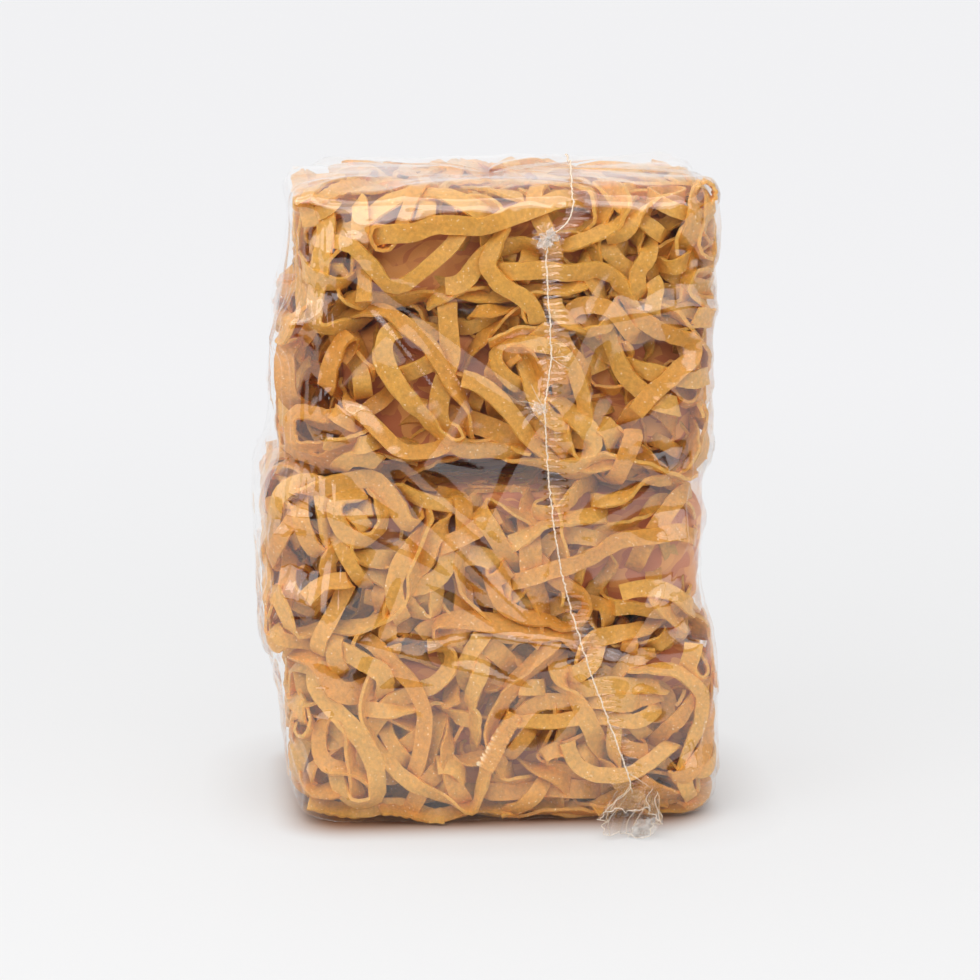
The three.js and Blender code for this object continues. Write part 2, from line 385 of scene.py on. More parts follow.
# how far a point is outside a prism with rounded corners and edges, and the way out: first the distance
# from the outline in plan, then with the height the distance from the inner edge; a hollow lowers the end
# about one place
def boxGap(points, middle, half, ends):
    corner = noodles["corner"]
    offset = points - middle
    flat, room = offset[..., :2], half[..., :2] - corner
    step = flat - np.clip(flat, -room, room)
    far = np.linalg.norm(step, axis=-1, keepdims=True)
    edge = np.where(offset[..., 2:] > 0, ends[..., 1:2], ends[..., :1])
    across, wide = noodles["dishAt"]
    hollow = np.exp(-((points[..., :1] - pack["middle"][0] - across) / wide) ** 4)
    dish = hollow * np.where(offset[..., 2:] > 0, ends[..., 3:], ends[..., 2:3])
    beside = np.maximum(far - corner + edge, 0)
    above = np.maximum(np.abs(offset[..., 2:]) - half[..., 2:] + edge + dish, 0)
    total = np.hypot(beside, above)
    way = np.concatenate([beside * step / np.maximum(far, 1e-6), np.sign(offset[..., 2:]) * above], -1)
    return (total - edge)[..., 0], way / np.maximum(total, 1e-6)


# how far a point must move to leave the core, a box with rounded sides: the sixth root of the summed
# sixth powers is one on its face
def leaveCore(points, middle, half):
    size = half - core["inset"]
    share = (points - middle) / size
    inside = np.maximum(np.sum(share ** 6, -1, keepdims=True), 1e-6) ** (1 / 6)
    way = unit(share ** 5 / size)
    return np.maximum(1 - inside, 0) * size.min(-1, keepdims=True) * way


# each noodle is walked along its length: bend, sway and twist drift at random, and walls turn it along them
def growNoodles(rng, middle, half, ends):
    s = noodles
    count = len(middle)
    shortest, longest = s["length"]
    steps = int(longest / s["step"])
    stride = (shortest + (longest - shortest) * rng.random((count, 1))) / steps
    keep = math.exp(-s["step"] / s["memory"])
    spread = np.array([s["bend"], s["sway"], s["twist"]])[:, None]
    turns = rng.normal(size=(3, count))
    point = middle + (rng.random((count, 3)) * 2 - 1) * (half - s["start"])
    point = point + leaveCore(point, middle, half)
    along = unit(rng.normal(size=(count, 3)) * (1, 1, s["startSteep"]))
    face = unit(np.cross(along, rng.normal(size=(count, 3))))
    path = np.zeros((count, steps, 3))
    faces = np.zeros((count, steps, 3))
    for k in range(steps):
        path[:, k], faces[:, k] = point, face
        turns = keep * turns + math.sqrt(1 - keep * keep) * rng.normal(size=(3, count))
        bend, sway, twist = (spread * turns * np.abs(turns))[..., None] * stride
        side = np.cross(along, face)
        ahead = along + bend * face + sway * side
        face = face + twist * side - bend * along
        gap, out = boxGap(point, middle, half, ends)
        near = np.clip(1 + gap / s["hug"], 0, 1)[:, None]
        ahead = ahead - near * np.maximum(dot(ahead, out), 0) * out
        face = face + s["lieFlat"] * near * np.where(dot(face, out) < 0, -1.0, 1.0) * out
        along = unit(ahead)
        face = unit(face - dot(face, along) * along)
        point = point + stride * along
        gap, out = boxGap(point, middle, half, ends)
        point = point - np.maximum(gap + s["skin"], 0)[:, None] * out
        point = point + s["leaveShare"] * leaveCore(point, middle, half)
    return path, faces


# pairs of points in the same or adjoining cells of a grid, found by sorting the cells' numbers
def nearPairs(points, reach):
    cell = np.floor((points - points.min(0)) / reach).astype(np.int64) + 1
    size = cell.max(0) + 2
    number = (cell[:, 0] * size[1] + cell[:, 1]) * size[2] + cell[:, 2]
    order = np.argsort(number, kind="stable")
    ranked = number[order]
    steps = [0, 1, size[2] - 1, size[2], size[2] + 1]
    steps += [size[1] * size[2] + y * size[2] + z for y in (-1, 0, 1) for z in (-1, 0, 1)]
    first, second = [], []
    for step in steps:
        low = np.searchsorted(ranked, ranked + step, "left")
        found = np.searchsorted(ranked, ranked + step, "right") - low
        a = np.repeat(np.arange(len(points)), found)
        b = np.arange(found.sum()) + np.repeat(low - np.cumsum(found) + found, found)
        once = (a < b) | (step != 0)
        first.append(order[a[once]])
        second.append(order[b[once]])
    return np.concatenate(first), np.concatenate(second)


# how far a flat section reaches in a direction: the root of the squared reaches of its width and thickness
def sectionReach(direction, face, side):
    flat, wide = dot(direction, face)[:, 0], dot(direction, side)[:, 0]
    rest = np.maximum(1 - flat ** 2 - wide ** 2, 0)
    halfWidth, halfThick = noodles["width"] / 2, noodles["thick"] / 2
    return np.sqrt((halfThick * flat) ** 2 + (halfWidth * wide) ** 2 + 0.25 * rest ** 2)


# the sums of the rows that have the same number
def gather(numbers, rows, count):
    return np.stack([np.bincount(numbers, rows[:, axis], count) for axis in range(3)], -1)


# pushes noodles that run through each other apart, turns them flat on each other, and keeps them in their
# cake: each moves by a share of the overlap, and its moves are evened out along it
def settleNoodles(path, face, middle, half, ends):
    s = noodles
    count, steps = path.shape[:2]
    grown = path.copy()
    owner = np.repeat(np.arange(count), steps)
    place = np.tile(np.arange(steps), count)
    for turn in range(s["rounds"]):
        along = unit(np.gradient(path, axis=1))
        face = unit(face - dot(face, along) * along)
        side = np.cross(along, face)
        points, flat, wide = path.reshape(-1, 3), face.reshape(-1, 3), side.reshape(-1, 3)
        a, b = nearPairs(points, s["width"] + s["pairReach"])
        apart = (owner[a] != owner[b]) | (np.abs(place[a] - place[b]) > s["ownReach"])
        a, b = a[apart], b[apart]
        between = points[a] - points[b]
        far = np.linalg.norm(between, axis=1)
        way = between / np.maximum(far, 1e-6)[:, None]
        over = sectionReach(way, flat[a], wide[a]) + sectionReach(way, flat[b], wide[b]) - far
        deep = over > 0
        a, b, way, over = a[deep], b[deep], way[deep], over[deep, None]
        push = s["push"] * over * way
        move = gather(a, push, len(points)) - gather(b, push, len(points))
        move = move * np.minimum(1, s["pushMost"] / np.maximum(np.linalg.norm(move, axis=1), 1e-6))[:, None]
        weight = np.minimum(over, s["leanMost"])
        lean = gather(a, -dot(wide[a], way) * way * weight, len(points))
        lean = lean + gather(b, -dot(wide[b], way) * way * weight, len(points))
        drift = path + move.reshape(path.shape) - grown
        for sweep in range(3):
            drift[:, 1:-1] += 0.25 * (drift[:, 2:] + drift[:, :-2] - 2 * drift[:, 1:-1])
        path = grown + drift
        side = unit(side + s["lean"] * lean.reshape(path.shape))
        side[:, 1:-1] = unit(2 * side[:, 1:-1] + side[:, 2:] + side[:, :-2])
        face = unit(np.cross(side, along))
        gap, out = boxGap(path, middle[:, None], half[:, None], ends[:, None])
        reach = sectionReach(out.reshape(-1, 3), face.reshape(-1, 3), side.reshape(-1, 3)).reshape(gap.shape)
        path = path + s["push"] * leaveCore(path, middle[:, None], half[:, None])
        path = path - np.maximum(gap + reach, 0)[..., None] * out
    print("noodles settled, mean overlap", round(float(over.mean()), 3), "mm at", len(a), "places")
    return path, face


# a slow random wave along each noodle: a sum of three sines with random lengths and starts
def slowWave(rng, count, along, longest):
    total = np.zeros((count, len(along)))
    for share in (1.0, 0.53, 0.29):
        start = rng.random((count, 1)) * 2 * math.pi
        pitch = longest * share * (0.8 + 0.4 * rng.random((count, 1)))
        total += np.sin(2 * math.pi * along / pitch + start) * share
    return total / 1.2


# how far the torn edge stands out along a noodle: a wave of straight slopes and a sine, more to its end
def tornEdge(down):
    teeth = slopes(placed["toothCount"] * (down + 0.06 * np.sin(9 * down)))
    return down * (0.5 + np.sin(40 * down) * 0.3 + teeth)


# the flat profile, eight points round, carried along the path: across times side, up times face; one edge
# of the last noodle is torn and worn white
def sweepNoodles(rng, path, face):
    s = noodles
    count, rings = len(path), s["rings"]
    path = resample(path, rings)
    face = resample(face, rings)
    along = unit(np.gradient(path, axis=1))
    face = unit(face - dot(face, along) * along)
    side = np.cross(along, face)
    run = np.linspace(0, s["length"][1], rings)

    def wave(key):
        height, longest = s["waves"][key]
        return height * slowWave(rng, count, run, longest)

    width = s["width"] + s["widthSpread"] * rng.normal(size=(count, 1)) + wave("width")
    thick = s["thick"] * (1 + s["thickSpread"] * rng.normal(size=(count, 1))) + wave("thick")
    cup = s["cupSpread"] * rng.normal(size=(count, 1)) + wave("cup")
    ruffle = wave("ruffle")
    across = np.array([-1, -0.5, 0.5, 1, 1, 0.5, -0.5, -1])
    up = np.repeat([-1, 1], 4)
    torn = np.zeros((count, rings, 1))
    torn[-1] = tornEdge(np.linspace(0, 1, rings)[:, None])
    edge = np.maximum(across, 0)
    worn = placed["toothWhite"] * smooth(torn * edge ** 3, 0.2, 1.2)
    x = 0.5 * width[..., None] * (across + placed["teeth"] * torn * edge)
    z = 0.5 * thick[..., None] * up + cup[..., None] * (across ** 2 - 0.5) + ruffle[..., None] * across
    points = path[:, :, None] + x[..., None] * side[:, :, None] + z[..., None] * face[:, :, None]
    points[..., 2] = np.maximum(points[..., 2], s["lowest"])
    return points.reshape(count, -1, 3), worn.reshape(count, -1)


# the faces of one noodle: rings of quads and three quads over each cut end
def noodleFaces(rings):
    sides = 8
    around = ringQuads(rings, sides)
    end = np.array([[k, k + 1, sides - 2 - k, sides - 1 - k] for k in range(3)])
    return np.concatenate([around, end[:, ::-1], end + (rings - 1) * sides])


# the paths and flat sides of the placed noodles: a ring at the top, turned about its middle, and others
# that run straight with slow waves; the cake of each comes with them
def placeNoodles(steps):
    s = placed
    t = np.linspace(0, 1, steps)
    foot = np.array([*pack["middle"], 0])
    turn = 2 * math.pi * s["turns"] * t + s["start"]
    out = np.stack([np.cos(turn), 0 * t, np.sin(turn)], -1)
    ring = foot + s["ring"] + s["radius"] * out + np.outer(t - 0.5, (0, s["spread"], 0))
    paths, faces, cakes = [ring], [out], [s["ringCake"]]
    for cake, start, end, wave, way, twist in s["lines"]:
        line = foot + start + np.outer(t, np.subtract(end, start))
        line[:, 2] += wave * np.sin(9 * t + start[0])
        line[:, 1] += 0.6 * wave * np.sin(13 * t + end[0])
        paths.append(line)
        faces.append(unit(way + twist * np.stack([np.sin(6 * t), 0 * t, np.cos(8 * t + end[0])], -1)))
        cakes.append(cake)
    return np.array(paths), np.array(faces), cakes


# all noodles are grown and settled in their cakes, and each cake becomes one mesh; returns their points
def makeNoodles(material):
    rng = np.random.default_rng(noodles["seed"])
    middles, halves, ends = cakeBoxes()
    cakeOf = np.repeat(np.arange(len(middles)), noodles["counts"])
    slack = rng.random((len(cakeOf), 3)) ** 2 * noodles["slack"]
    rooms = halves[cakeOf] - slack
    places = middles[cakeOf] + slack * (rng.random((len(cakeOf), 3)) * 2 - 1)
    path, face = growNoodles(rng, places, rooms, ends[cakeOf])
    path, face = settleNoodles(path, face, places, rooms, ends[cakeOf])
    morePath, moreFace, moreCakes = placeNoodles(path.shape[1])
    path, face = np.concatenate([path, morePath]), np.concatenate([face, moreFace])
    cakeOf = np.append(cakeOf, moreCakes)
    points, worn = sweepNoodles(rng, path, face)
    # a random tone, plus painted light that makes the top cake paler
    tone = rng.random(len(points)) + np.array(noodles["paler"])[cakeOf]
    faces = noodleFaces(noodles["rings"])
    size = points.shape[1]
    for cake in range(len(middles)):
        mine = np.flatnonzero(cakeOf == cake)
        allFaces = (faces[None] + np.arange(len(mine))[:, None, None] * size).reshape(-1, 4)
        piece = putMesh(f"noodlesOfCake{cake + 1}", points[mine].reshape(-1, 3), [allFaces], material,
                        noodles["crisp"], tone=np.repeat(tone[mine], size), worn=worn[mine].ravel())
        partOfPack(piece)
    return points.reshape(-1, 3)


# core

# cells of different tones, drawn out and bent by noise, painted shade that looks like the shaded flat sides
# of noodles deep inside
def coreMaterial():
    material, tree = newMaterial("noodleDeepPaintedShade")
    where = objectPlace(tree)
    bent = noise(tree, where, core["bendScale"], 1.0)["Color"]
    moved = calculateVector(tree, "MULTIPLY_ADD", bent, core["cellBend"], where)
    drawnOut = addNode(tree, "Mapping", {"Vector": moved, "Scale": core["cellStretch"]}).outputs["Vector"]
    cells = addNode(tree, "TexVoronoi", {"Vector": drawnOut, "Scale": core["cells"]}).outputs["Color"]
    tone = addNode(tree, "SeparateColor", {0: cells}).outputs[0]
    colour = ramp(tree, tone, *zip(core["ends"], (core["dark"], core["light"])))
    shader = addNode(tree, "BsdfPrincipled", {"Base Color": colour, "Roughness": core["roughness"]})
    finishMaterial(tree, shader)
    return material


# a dark lumpy middle of painted shade for each cake: a sphere's grid pushed out to a rounded box, with waves
# on it
def makeCores(material):
    s = core
    rng = np.random.default_rng(s["seed"])
    tilts = np.linspace(0.0, math.pi, s["rings"])
    turns = np.linspace(0, 2 * math.pi, s["around"], False)
    tilt, turn = np.meshgrid(tilts, turns, indexing="ij")
    way = np.stack([np.sin(tilt) * np.cos(turn), np.sin(tilt) * np.sin(turn), -np.cos(tilt)], -1)
    squared = np.sign(way) * np.abs(way) ** s["square"]
    quads = ringQuads(s["rings"], s["around"])
    points, faces = [], []
    for k, (middle, half, _) in enumerate(zip(*cakeBoxes())):
        half = half - s["inset"] + (0, s["swell"][k], 0)
        lumps = sum(np.sin(way @ rng.normal(size=3) * s["lumpTurns"] + rng.random() * 6)
                    for wave in range(s["lumps"])) / s["lumps"]
        middle = middle + (s["shift"][k], 0, 0)
        points.append((middle + squared * half + way * lumps[..., None] * s["bump"]).reshape(-1, 3))
        faces.append(quads + k * s["rings"] * s["around"])
    points = np.concatenate(points)
    partOfPack(putMesh("noodleCore", points, [np.concatenate(faces)], material))
    return points


# film

film = dict(
    half=(54.0, 36.6),  # of the outline that it is measured from
    corner=13.0,  # radius of the upright edges
    edge=5.0,  # radius of the level edges
    gap=0.3,  # between film and noodles
    pitch=dict(front=0.65, side=1.1, back=1.7, height=0.85),
    arcRows=9,
    capRows=(12, 24),  # under the foot and on the top
    capRun=30.0,  # how long a cap's rows count as
    pole=0.03,  # share of the cap at its last row
    pull=0.42,  # how much the curved edges draw the film in
    upright=0.22,  # how tight it is up and down, for its tightness round the pack
    bare=-30.0,  # how low it may be where nothing lies under it
    slackest=-2.0,  # where it starts from, below its plain form
    underFoot=-0.12,
    lowest=0.08,  # over the floor
    calm=4.0,  # rise up to which there are fewer tents and folds
    sweeps=220,
    overshoot=1.86,
    # tents in the slack film: how many, slope, how much longer than wide, and the height of the highest
    tents=dict(count=80, slope=(0.08, 0.30), stretch=(3.0, 10.0), height=2.1, seed=8),
    # folds: points as run and right of the middle, height, width on the near side and on the far side
    folds=(
        (((96, 53), (112, 36), (120, 22)), 0.9, 1.0, 5.0),
        (((100, 53), (115, 50), (128, 48)), 0.7, 0.9, 4.0),
        (((150, -20), (147, -5), (150, 18), (158, 48)), 0.8, 1.2, 5.0),
        (((157, 8), (153, 22), (156, 36)), 0.6, 0.9, 3.5),
        (((60, -36), (72, -26), (88, -14)), 0.55, 1.0, 6.0),
        (((66, -24), (76, -16), (90, -6)), 0.45, 1.0, 5.0),
        (((34, 42), (44, 50), (52, 53)), 0.6, 0.8, 3.0),
        (((160, -52), (175, -50), (188, -44)), 0.8, 0.9, 3.0),
        (((168, -46), (182, -44), (191, -36)), 0.6, 0.8, 3.0),
        (((160, 52), (172, 53), (184, 49)), 0.7, 0.9, 3.0),
        (((176, 38), (183, 36), (190, 35)), 0.6, 0.8, 3.0),
    ),
    foldSteps=15,
    # upright folds at the front left edge: height, pitch, reach along the outline, where they begin and end
    streak=dict(height=0.5, pitch=3.1, reach=17.0, begin=(15.0, 45.0), end=12.0),
)


# the outline as breaks along it: where a straight run or quarter circle begins, its middle and way out
def filmOutline():
    x, y = film["half"][0] - film["corner"], film["half"][1] - film["corner"]
    turn = film["corner"] * math.pi / 2
    breaks = np.cumsum([0, 2 * x, turn, 2 * y, turn, 2 * x, turn, 2 * y, turn])
    across = np.array([-x, x, x, x, x, -x, -x, -x, -x])
    back = np.array([-y, -y, -y, y, y, y, y, -y, -y])
    angle = np.radians([-90, -90, 0, 0, 90, 90, 180, 180, 270])
    return breaks, across, back, angle


# the circle's middle and the way out at runs u along the outline
def outlineAt(u):
    breaks, across, back, angle = filmOutline()
    turned = np.interp(u, breaks, angle)
    middle = np.stack([np.interp(u, breaks, across), np.interp(u, breaks, back)], -1)
    return middle, np.stack([np.cos(turned), np.sin(turned)], -1)


# the length of the whole outline
def wholeRun():
    return filmOutline()[0][-1]


# runs counted from the front's left end both ways, up to half the outline
def bothWays(run):
    whole = wholeRun()
    return np.mod(run + whole / 2, whole) - whole / 2


# heights along the film from foot to top: the straight rise, and the length of a level edge's arc
def filmRise():
    return pack["height"] - 2 * film["edge"], film["edge"] * math.pi / 2


# the share of the outline's size at rises v: one, and less on the caps towards their poles
def capShare(v):
    rise, arc = filmRise()
    return 1 - np.maximum(np.maximum(-v - arc, v - rise - arc), 0) / film["capRun"]


# columns along the outline and rows up it
def filmGrid():
    breaks = filmOutline()[0]
    pitch = film["pitch"]
    steps = [pitch[k] for k in ("front", "front", "side", "side", "back", "side", "side", "front")]
    runs = zip(breaks[:-1], breaks[1:], steps)
    columns = [np.linspace(a, b, max(int((b - a) / step), 2), False) for a, b, step in runs]
    rise, arc = filmRise()
    cap = film["capRun"] * (1 - film["pole"])
    foot, top = film["capRows"]
    rows = [
        np.linspace(-arc - cap, -arc, foot, False),
        np.linspace(-arc, 0, film["arcRows"], False),
        np.linspace(0, rise, int(rise / pitch["height"]), False),
        np.linspace(rise, rise + arc, film["arcRows"], False),
        np.linspace(rise + arc, rise + arc + cap, top),
    ]
    return np.concatenate(columns), np.concatenate(rows)


# the plain form that the film is measured from: point and way out at run u and rise v
def filmForm(u, v):
    rise, arc = filmRise()
    middle, out = outlineAt(u)
    tilt = np.where(v < 0, np.clip(v, -arc, 0), np.clip(v - rise, 0, arc)) / film["edge"]
    inner = middle + (film["corner"] - film["edge"]) * out
    flat = capShare(v)[..., None] * inner + film["edge"] * np.cos(tilt)[..., None] * out + pack["middle"]
    height = film["edge"] + np.clip(v, 0, rise) + film["edge"] * np.sin(tilt)
    way = np.concatenate([np.cos(tilt)[..., None] * out, np.sin(tilt)[..., None]], -1)
    return np.concatenate([flat, height[..., None]], -1), way


# run, rise and height over the plain form of points near it, the other way round from filmForm
def filmPlaces(points):
    rise, arc = filmRise()
    edge, corner = film["edge"], film["corner"]
    breaks = filmOutline()[0]
    x, y = film["half"][0] - corner, film["half"][1] - corner
    p = points[:, :2] - pack["middle"]
    z = points[:, 2]
    nearest = np.clip(p, (-x, -y), (x, y))
    step = p - nearest
    far = np.linalg.norm(step, axis=1)
    angle = np.mod(np.arctan2(step[:, 1], step[:, 0]) + math.pi / 2, 2 * math.pi)
    quarter = np.minimum((angle / (math.pi / 2) + 1e-9).astype(int), 3)
    runs = np.stack([nearest[:, 0] + x, nearest[:, 1] + y, x - nearest[:, 0], y - nearest[:, 1]], 0)
    beside = breaks[2 * quarter] + runs[quarter, np.arange(len(p))] + (angle - quarter * math.pi / 2) * corner
    table = np.linspace(0, breaks[-1], 2000)
    middle, out = outlineAt(table)
    inner = middle + (corner - edge) * out
    turns = np.unwrap(np.arctan2(inner[:, 1], inner[:, 0]))
    turned = np.mod(np.arctan2(p[:, 1], p[:, 0]) - turns[0], 2 * math.pi) + turns[0]
    above = np.interp(turned, turns, table)
    share = np.linalg.norm(p, axis=1) / np.interp(above, table, np.linalg.norm(inner, axis=1))
    proud = np.where(far > 0, far - (corner - edge), -corner)
    over, under = z - (pack["height"] - edge), edge - z
    onCap = (proud <= 0) & (np.maximum(over, under) > 0)
    lift = np.maximum(np.maximum(over, under), 0)
    tilt = np.arctan2(lift, np.maximum(proud, 1e-6))
    capRise = arc + (1 - np.minimum(share, 1)) * film["capRun"]
    bent = np.where(onCap, capRise, edge * tilt)
    v = np.where(over > 0, rise + bent, np.where(under > 0, -bent, z - edge))
    height = np.where(onCap, lift - edge, np.hypot(np.maximum(proud, 0), lift) - edge)
    height = np.where((lift <= 0) & (proud <= 0), proud - edge, height)
    return np.where(onCap, above, beside), v, height


# the least height of the film's grid that clears the points, spread by one row and one column
def filmFloor(points, u, v):
    pu, pv, height = filmPlaces(points)
    columns = np.rint(np.interp(pu, np.append(u, wholeRun()), np.arange(len(u) + 1))).astype(int) % len(u)
    rows = np.rint(np.interp(pv, v, np.arange(len(v)))).astype(int)
    floor = np.full((len(v), len(u)), film["bare"])
    np.maximum.at(floor, (rows, columns), height + film["gap"])
    for axis in (0, 1):
        floor = np.maximum(floor, np.maximum(np.roll(floor, 1, axis), np.roll(floor, -1, axis)))
    return floor


# the film's height over its plain form: as low as it can be over the noodles, each point the mean of its
# neighbours less the pull of a curved edge, swept in two colours like a chessboard
def stretchFilm(points):
    s = film
    u, v = filmGrid()
    breaks = filmOutline()[0]
    rise, arc = filmRise()
    floor = filmFloor(points, u, v)
    rows, columns = floor.shape
    right = np.append(u, breaks[-1])[1:] - u
    left = np.roll(right, 1)
    up = np.append(np.diff(v), v[-1] - v[-2])
    down = np.append(v[1] - v[0], np.diff(v))
    squeeze = (np.clip(capShare(v), s["pole"], 1) ** 2)[:, None]
    east, west = (2 / (step * (left + right)) / squeeze for step in (right, left))
    tight = np.where((v > 0) & (v < rise), s["upright"], 1.0)
    north, south = ((2 * tight / (step * (up + down)))[:, None] for step in (up, down))
    total = east + west + north + south
    upright = (v > -arc) & (v < rise + arc)
    level = ((v > -arc) & (v < 0)) | ((v > rise) & (v < rise + arc))
    curved = np.interp(u, breaks, np.arange(len(breaks))) % 2 > 1
    draw = s["pull"] * (curved / s["corner"] * upright[:, None] + (level / s["edge"])[:, None])
    lift = np.maximum(floor, s["slackest"])
    colour = (np.arange(rows)[:, None] + np.arange(columns)) % 2
    for sweep in range(s["sweeps"]):
        for half in (0, 1):
            above = np.vstack([lift[1:], np.full((1, columns), lift[-1].mean())])
            below = np.vstack([lift[:1], lift[:-1]])
            beside = east * np.roll(lift, -1, 1) + west * np.roll(lift, 1, 1)
            mean = (beside + north * above + south * below - draw) / total
            new = np.maximum(lift + s["overshoot"] * (mean - lift), floor)
            lift = np.where(colour == half, new, lift)
        lift[v < -arc] = s["underFoot"]
    print("film stretched over", len(points), "points")
    return u, v, lift + crumpleFilm(u, v) + foldFilm(u, v)


# height added to the stretched film: the highest of many long tents, each a height less its slope times
# the steps along and across from its middle, and sharp upright folds at the left edge
def crumpleFilm(u, v):
    rise, arc = filmRise()
    run, up = np.meshgrid(u, v)
    whole = wholeRun()
    tents = film["tents"]
    longest, steepest = tents["stretch"], tents["slope"]
    rng = np.random.default_rng(tents["seed"])
    total = np.zeros(run.shape)
    for k in range(tents["count"]):
        a, b, c, d, e, f = rng.random(6)
        awayRun = bothWays(run - a * whole)
        awayUp = up - b * (rise + arc)
        turn = math.pi * c
        along = awayRun * math.cos(turn) + awayUp * math.sin(turn)
        beside = awayUp * math.cos(turn) - awayRun * math.sin(turn)
        stretch = longest[0] + (longest[1] - longest[0]) * d
        slope = steepest[0] + (steepest[1] - steepest[0]) * e
        far = np.abs(along) / stretch + np.abs(beside)
        total = np.maximum(total, tents["height"] * (0.5 + 0.5 * f) - slope * far)
    fold = film["streak"]
    fromEdge = bothWays(run) + film["corner"] * math.pi / 4
    near = smooth(-np.abs(fromEdge), -fold["reach"], -fold["reach"] * 0.4)
    near = near * smooth(up, *fold["begin"]) * smooth(-up, -rise, -rise + fold["end"])
    ridges = slopes((fromEdge + 1.3 * np.sin(up / 19) + 0.5 * np.sin(up / 7)) / fold["pitch"]) ** 3
    total += fold["height"] * near * ridges
    return total * smooth(up, -arc, film["calm"])


# height added along folds: a power of one less the distance over the fold's width, and less at its ends
def foldFilm(u, v):
    run, up = np.meshgrid(bothWays(u), v)
    steps = film["foldSteps"]
    total = np.zeros(run.shape)
    for line, height, near, far in film["folds"]:
        points = resample(np.array(line, float)[None], steps + 1)[0]
        lineU, lineV = seamGuess(points[:, 0], points[:, 1])
        lineU = bothWays(lineU)
        best = np.full(run.shape, np.inf)
        crest = np.zeros(run.shape)
        for k in range(steps):
            du, dv = lineU[k + 1] - lineU[k], lineV[k + 1] - lineV[k]
            squared = max(du * du + dv * dv, 1e-9)
            t = np.clip(((run - lineU[k]) * du + (up - lineV[k]) * dv) / squared, 0, 1)
            awayU, awayV = run - lineU[k] - t * du, up - lineV[k] - t * dv
            away = np.hypot(awayU, awayV)
            wide = np.where(du * awayV - dv * awayU > 0, near, far)
            taper = np.sin(math.pi * np.clip((k + t) / steps, 0.03, 0.97)) ** 0.5
            crest = np.where(away < best, taper * np.maximum(1 - away / wide, 0) ** 1.3, crest)
            best = np.minimum(best, away)
        total += height * crest
    return total


# the film's point and way out at runs and rises, straight between the points of its grid
def filmAt(stretched, u, v):
    us, vs, lift = stretched
    whole = wholeRun()
    column = np.interp(np.mod(u, whole), np.append(us, whole), np.arange(len(us) + 1))
    row = np.interp(v, vs, np.arange(len(vs)))
    c, r = column.astype(int), np.minimum(row.astype(int), len(vs) - 2)
    f, g = column - c, row - r
    n, c = (c + 1) % len(us), c % len(us)
    low, high = (lift[at, c] * (1 - f) + lift[at, n] * f for at in (r, r + 1))
    base, way = filmForm(u, v)
    return base + (low * (1 - g) + high * g)[..., None] * way, way


filmLook = dict(
    clear=(0.985, 0.98, 0.975, 1),
    shine=0.105,  # share that is mirrored where the film is seen straight on
    grazing=0.96,  # share that is mirrored along it
    steep=4.6,
    roughness=0.06,
    wrinkles=(75.0, 2.0, 0.45, 0.6),  # scale, detail, roughness and distortion of their noise
    wrinkleBump=0.05,
    wrinkleHeight=0.004,
    gatherReach=9.0,  # from the seam to where the film is plain
    pucker=1.7,  # pitch of the gathers beside the seam
    puckerRight=(4.8, 0.8),  # from the seam to where they begin and where they are whole
    puckerLeft=(-1.6, 0.0),
    puckerHeight=0.0002,
    puckerUneven=(160.0, 9.0),  # scale of the noise that moves them, and how far
    patches=(0.42, 0.58),  # noise where they begin and where they are whole
    patchScale=55.0,
    starUneven=(220.0, 7.0),
    starFront=(0.01, -0.01),  # depths in metres between which the stars begin
    # puckers that run together in a star: run and right of the middle, folds, reach, height
    stars=((89.4, 10.4, 9.0, 8.0, 0.00025), (47.6, 11.5, 7.0, 5.0, 0.0008), (77.0, 12.6, 6.0, 6.0, 0.0005)),
)


# height of a star of puckers on the front: the sine of the angle about its middle times the number of
# folds, less with the distance from it
def starHeight(tree, where, run, right, folds, reach, height):
    x, z = pack["middle"][0] + right, pack["height"] - seam["edge"] - (run - seam["frontRun"])
    away = calculateVector(tree, "SUBTRACT", where, (x * mm, 0, z * mm))
    parts = addNode(tree, "SeparateXYZ", {0: away}).outputs
    angle = calculate(tree, "ARCTAN2", parts["Z"], parts["X"])
    scale, uneven = filmLook["starUneven"]
    start = calculate(tree, "MULTIPLY", noise(tree, where, scale, 1.0)["Fac"], uneven)
    wave = calculate(tree, "SINE", calculate(tree, "MULTIPLY_ADD", angle, folds, start))
    far = calculateVector(tree, "LENGTH", calculateVector(tree, "MULTIPLY", away, (1, 0, 1)))
    near = mapRange(tree, far, (reach * mm, 0.0), (0.0, height), "SMOOTHSTEP")
    front = mapRange(tree, addNode(tree, "SeparateXYZ", {0: where}).outputs["Y"], filmLook["starFront"])
    return calculate(tree, "MULTIPLY", wave, calculate(tree, "MULTIPLY", near, front))


# the film's normal beside the seam: gathers, a sine of the run along it, fewer with the distance from it
# and in some places only, and stars of puckers
def gatheredNormal(tree, where, normal):
    look = filmLook
    scale, uneven = look["puckerUneven"]
    start = calculate(tree, "MULTIPLY", noise(tree, where, scale, 2.0)["Fac"], uneven)
    phase = calculate(tree, "MULTIPLY_ADD", attribute(tree, "seamRun"), 2 * math.pi / look["pucker"], start)
    raised = calculate(tree, "SINE", phase)
    off = attribute(tree, "seamOff")
    some = mapRange(tree, noise(tree, where, look["patchScale"], 1.0)["Fac"], look["patches"])
    right, left = (mapRange(tree, off, look[side]) for side in ("puckerRight", "puckerLeft"))
    for share in (right, left, some, look["puckerHeight"]):
        raised = calculate(tree, "MULTIPLY", raised, share)
    for star in look["stars"]:
        raised = calculate(tree, "ADD", raised, starHeight(tree, where, *star))
    bump = addNode(tree, "Bump", {"Strength": 1.0, "Distance": 1.0, "Height": raised, "Normal": normal})
    return bump.outputs["Normal"]


